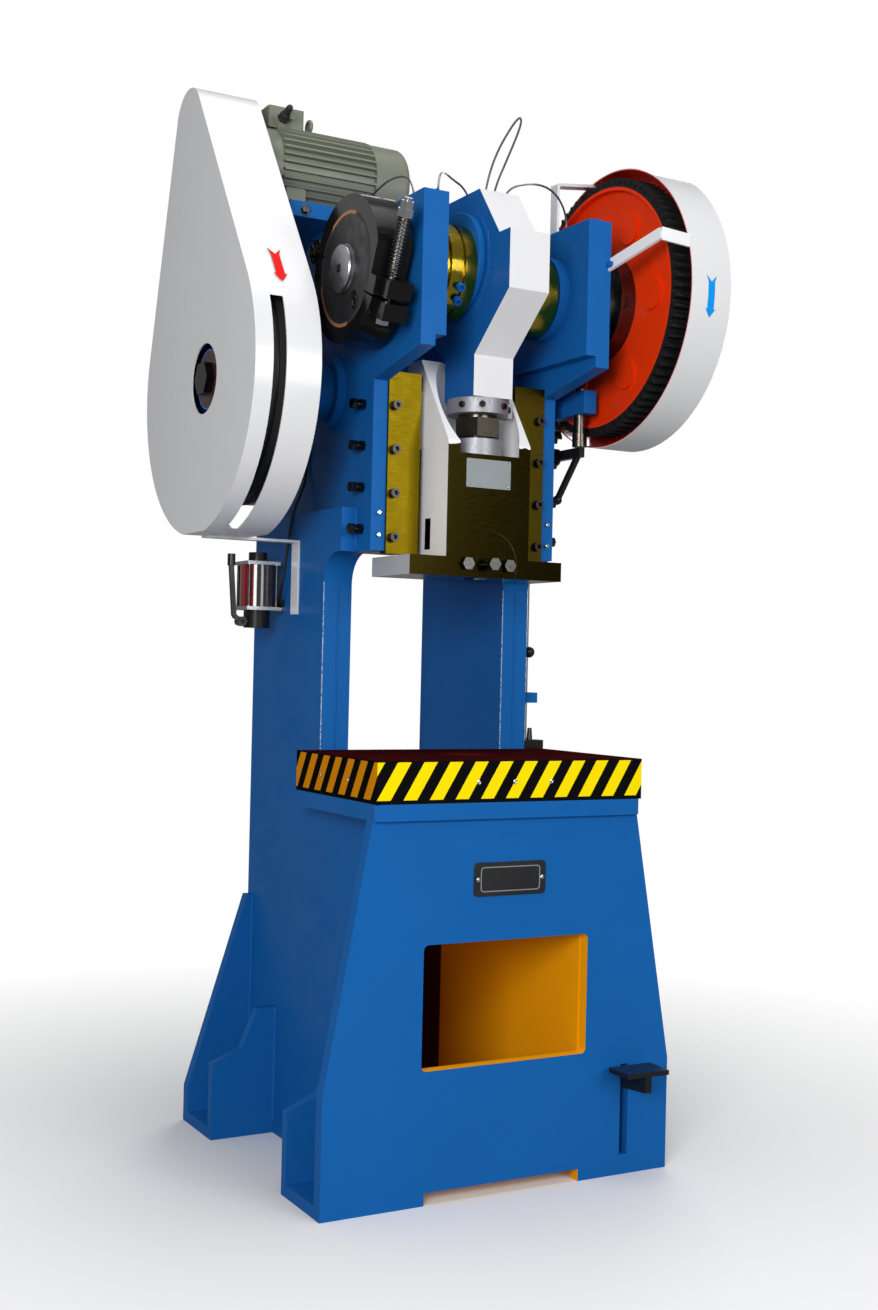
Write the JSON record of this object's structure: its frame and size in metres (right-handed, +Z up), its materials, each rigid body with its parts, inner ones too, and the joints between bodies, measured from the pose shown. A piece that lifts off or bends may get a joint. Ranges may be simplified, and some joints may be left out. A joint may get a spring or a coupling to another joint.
{
  "type": "open-back C-frame power press",
  "caption": "Open-back C-frame mechanical power press: flywheel and geared crank drive a guided ram over a bolster table, with treadle-tripped clutch and band brake.",
  "frame": {"origin": "middle of the four anchor holes, on the floor", "axes": "+X along the crankshaft towards the bull gear, -Y towards the operator, +Z up"},
  "size_m": [0.869, 0.8567, 2.1099],
  "materials": {
    "blue_enamel": "gloss enamel",
    "white_enamel": "gloss enamel",
    "black_enamel": "satin enamel",
    "motor_grey": "satin enamel",
    "gear_red": "satin enamel",
    "lacquered_steel": "olive lacquer over ground steel",
    "steel": "turned",
    "dark_steel": "oiled",
    "bronze": "machined bronze",
    "cast_iron": "machined",
    "lining": "woven friction lining",
    "belt_rubber": "matte",
    "red_clear": "clear red plastic",
    "black_plastic": "gloss"
  },
  "bodies": {
    "frame": {"left_cheek": "blue_enamel", "right_cheek": "blue_enamel", "left_side_plate": "blue_enamel", "right_side_plate": "blue_enamel", "head_pads": "blue_enamel", "front_plate": "blue_enamel", "rear_plate": "blue_enamel", "front_feet": "blue_enamel", "rear_feet": "blue_enamel", "bed_plate": "blue_enamel", "bolster_plate": "dark_steel", "back_tie_plate": "blue_enamel", "main_bushes": "bronze", "gib_plates": "lacquered_steel", "guide_rails": "lacquered_steel", "gib_screws": "dark_steel", "gib_adjusters": "dark_steel", "shaft_bearings": "blue_enamel", "belt_guard": "white_enamel", "guard_brackets": "white_enamel", "gear_guard": "white_enamel", "motor_body": "motor_grey", "fan_cowl": "motor_grey", "terminal_box": "motor_grey", "motor_plate": "blue_enamel", "v_belts": "belt_rubber", "pivot_pins": "steel", "lubricator_pump": "dark_steel", "lubricator_reservoir": "red_clear", "trip_bracket": "blue_enamel", "control_knob": "black_plastic", "table_stop": "black_enamel"},
    "crank": {"crankshaft": "lacquered_steel", "stroke_sleeve": "lacquered_steel", "brake_drum": "cast_iron"},
    "gear": {"bull_gear": "cast_iron", "clutch_hub": "dark_steel"},
    "flywheel_shaft": {"pinion_shaft": "dark_steel", "flywheel": "cast_iron"},
    "motor_rotor": {"motor_pulley": "cast_iron"},
    "slide": {"ram": "lacquered_steel", "tool_clamp": "lacquered_steel", "tool_bolts": "dark_steel", "pitman": "blue_enamel", "pitman_cap": "blue_enamel", "ball_screw": "steel", "clamp_ring": "steel", "ball_cap": "steel"},
    "upper_brake": {"upper_brake_arm": "black_enamel", "upper_brake_lining": "lining"},
    "lower_brake": {"lower_brake_arm": "black_enamel", "lower_brake_lining": "lining", "brake_bolt": "dark_steel", "brake_spring": "dark_steel"},
    "treadle": {"pedal": "black_enamel"},
    "rod": {"pull_rod": "steel"},
    "trip": {"trip_lever": "black_enamel"},
    "latch": {"trip_pin": "steel"},
    "pump_handle": {"lubricator_handle": "black_enamel"}
  },
  "joints": [
    {"name": "crank_turn", "type": "hinge", "parent": "frame", "child": "crank", "pos_m": [0, -0.188, 1.7], "axis": [-1, 0, 0], "range_deg": [0, 180]},
    {"name": "ram_slide", "type": "slide", "parent": "frame", "child": "slide", "axis": [0, 0, -1], "range_m": [0, 0.0801]},
    {"name": "flywheel_spin", "type": "hinge", "parent": "frame", "child": "flywheel_shaft", "pos_m": [0, 0.04979, 1.51221], "axis": [1, 0, 0], "continuous": true},
    {"name": "gear_spin", "type": "hinge", "parent": "frame", "child": "gear", "pos_m": [0.302, -0.188, 1.7], "axis": [1, 0, 0], "continuous": true},
    {"name": "motor_spin", "type": "hinge", "parent": "frame", "child": "motor_rotor", "pos_m": [-0.3, 0.17349, 1.975], "axis": [1, 0, 0], "continuous": true},
    {"name": "upper_brake_swing", "type": "hinge", "parent": "frame", "child": "upper_brake", "pos_m": [-0.256, -0.05322, 1.76114], "axis": [-1, 0, 0], "range_deg": [0, 0.6], "stiffness_Nm_per_rad": 300, "springref_deg": -5.73, "deforming": ["brake_spring"]},
    {"name": "lower_brake_swing", "type": "hinge", "parent": "frame", "child": "lower_brake", "pos_m": [-0.256, -0.05322, 1.76114], "axis": [-1, 0, 0], "range_deg": [-0.6, 0], "stiffness_Nm_per_rad": 300, "springref_deg": 5.73},
    {"name": "treadle_swing", "type": "hinge", "parent": "frame", "child": "treadle", "pos_m": [0.269, 0.24, 0.14], "axis": [1, 0, 0], "range_deg": [0, 4.2], "stiffness_Nm_per_rad": 90, "springref_deg": -17.19},
    {"name": "rod_slide", "type": "slide", "parent": "frame", "child": "rod", "axis": [0, 0, -1], "range_m": [0, 0.016]},
    {"name": "trip_swing", "type": "hinge", "parent": "frame", "child": "trip", "pos_m": [0.256, -0.069, 1.4095], "axis": [-1, 0, 0], "range_deg": [0, 7.5]},
    {"name": "latch_slide", "type": "slide", "parent": "frame", "child": "latch", "axis": [0, 0, 1], "range_m": [0, 0.013]},
    {"name": "pump_handle_swing", "type": "hinge", "parent": "frame", "child": "pump_handle", "pos_m": [-0.328, 0.1897, 1.052], "axis": [0, -1, 0], "range_deg": [0, 45]}
  ],
  "couplings": [
    {"joint": "ram_slide", "follows": "crank_turn", "m_per_rad": 0.025465},
    {"joint": "gear_spin", "follows": "flywheel_spin", "ratio": -0.20238},
    {"joint": "motor_spin", "follows": "flywheel_spin", "ratio": 4.3905},
    {"joint": "lower_brake_swing", "follows": "upper_brake_swing", "ratio": -1},
    {"joint": "rod_slide", "follows": "treadle_swing", "m_per_rad": 0.19},
    {"joint": "trip_swing", "follows": "treadle_swing", "ratio": 1.5966},
    {"joint": "latch_slide", "follows": "treadle_swing", "m_per_rad": 0.14689}
  ]
}
